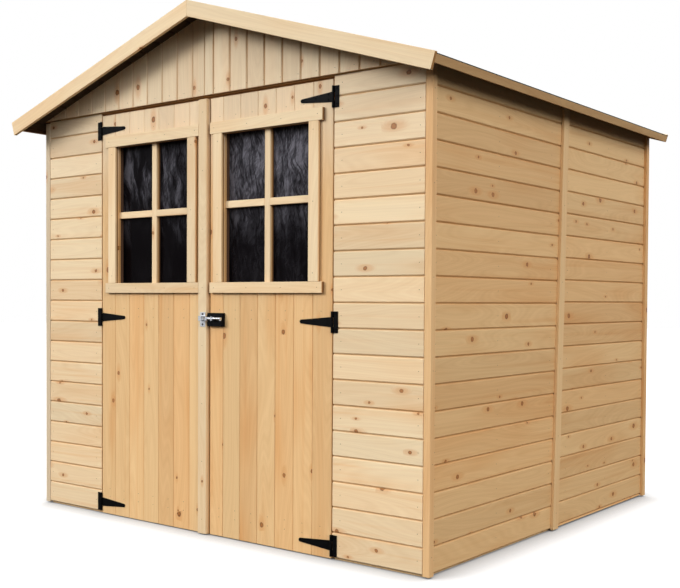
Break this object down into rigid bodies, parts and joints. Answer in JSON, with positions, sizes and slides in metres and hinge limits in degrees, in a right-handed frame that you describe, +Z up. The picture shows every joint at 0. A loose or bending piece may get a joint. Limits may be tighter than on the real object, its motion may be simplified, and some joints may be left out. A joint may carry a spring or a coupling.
{
  "type": "wooden garden shed",
  "caption": "Gabled garden shed of horizontal spruce boards with felt roof, boarded double doors with glazed windows, strap hinges and a sliding bolt.",
  "frame": {"origin": "on the ground under the middle of the whole shed, roof overhangs included", "axes": "+X along the front from left to right, +Y from the front to the back, +Z up"},
  "size_m": [2.2158, 2.006, 2.0428],
  "materials": {
    "wall_boards": "planed spruce boards, untreated",
    "door_boards": "planed spruce boards, untreated",
    "trim": "planed spruce battens, untreated",
    "framing": "sawn spruce studs and rails",
    "roof_boards": "planed spruce boards, underside showing",
    "roofing_felt": "mineral-surfaced bitumen felt",
    "window_glass": "clear pane, dark room behind",
    "black_iron": "black satin coat",
    "bright_steel": "zinc-plated"
  },
  "bodies": {
    "shed": {"front_left_cladding": "wall_boards", "front_right_cladding": "wall_boards", "left_front_cladding": "wall_boards", "left_back_cladding": "wall_boards", "right_front_cladding": "wall_boards", "right_back_cladding": "wall_boards", "back_left_cladding": "wall_boards", "back_right_cladding": "wall_boards", "front_gable": "wall_boards", "back_gable": "wall_boards", "front_frame": "framing", "back_frame": "framing", "left_frame": "framing", "right_frame": "framing", "ridge_beam": "framing", "purlins": "framing", "front_corner_posts": "trim", "back_corner_battens": "trim", "left_middle_batten": "trim", "right_middle_batten": "trim", "back_middle_batten": "trim", "front_left_bargeboard": "trim", "front_right_bargeboard": "trim", "back_left_bargeboard": "trim", "back_right_bargeboard": "trim", "left_eave_board": "trim", "right_eave_board": "trim", "left_roof_deck": "roof_boards", "right_roof_deck": "roof_boards", "roofing_felt": "roofing_felt", "hinge_plates": "black_iron"},
    "left_door": {"left_door_boards": "door_boards", "left_door_ledges": "framing", "left_window_surround": "trim", "left_window_lining": "trim", "left_window_pane": "window_glass", "cover_strip": "trim", "left_hinge_straps": "black_iron", "bolt_keep": "black_iron"},
    "right_door": {"right_door_boards": "door_boards", "right_door_ledges": "framing", "right_window_surround": "trim", "right_window_lining": "trim", "right_window_pane": "window_glass", "right_hinge_straps": "black_iron", "bolt_housing": "black_iron"},
    "bolt": {"bolt_rod": "bright_steel"}
  },
  "joints": [
    {"name": "left_door_hinge", "type": "hinge", "parent": "shed", "child": "left_door", "pos_m": [-0.639, -0.8855, 0.8395], "axis": [0, 0, -1], "range_deg": [0, 120]},
    {"name": "right_door_hinge", "type": "hinge", "parent": "shed", "child": "right_door", "pos_m": [0.613, -0.8855, 0.8395], "axis": [0, 0, 1], "range_deg": [0, 120]},
    {"name": "bolt_slide", "type": "slide", "parent": "right_door", "child": "bolt", "axis": [-1, 0, 0], "range_m": [0, 0.032]}
  ]
}
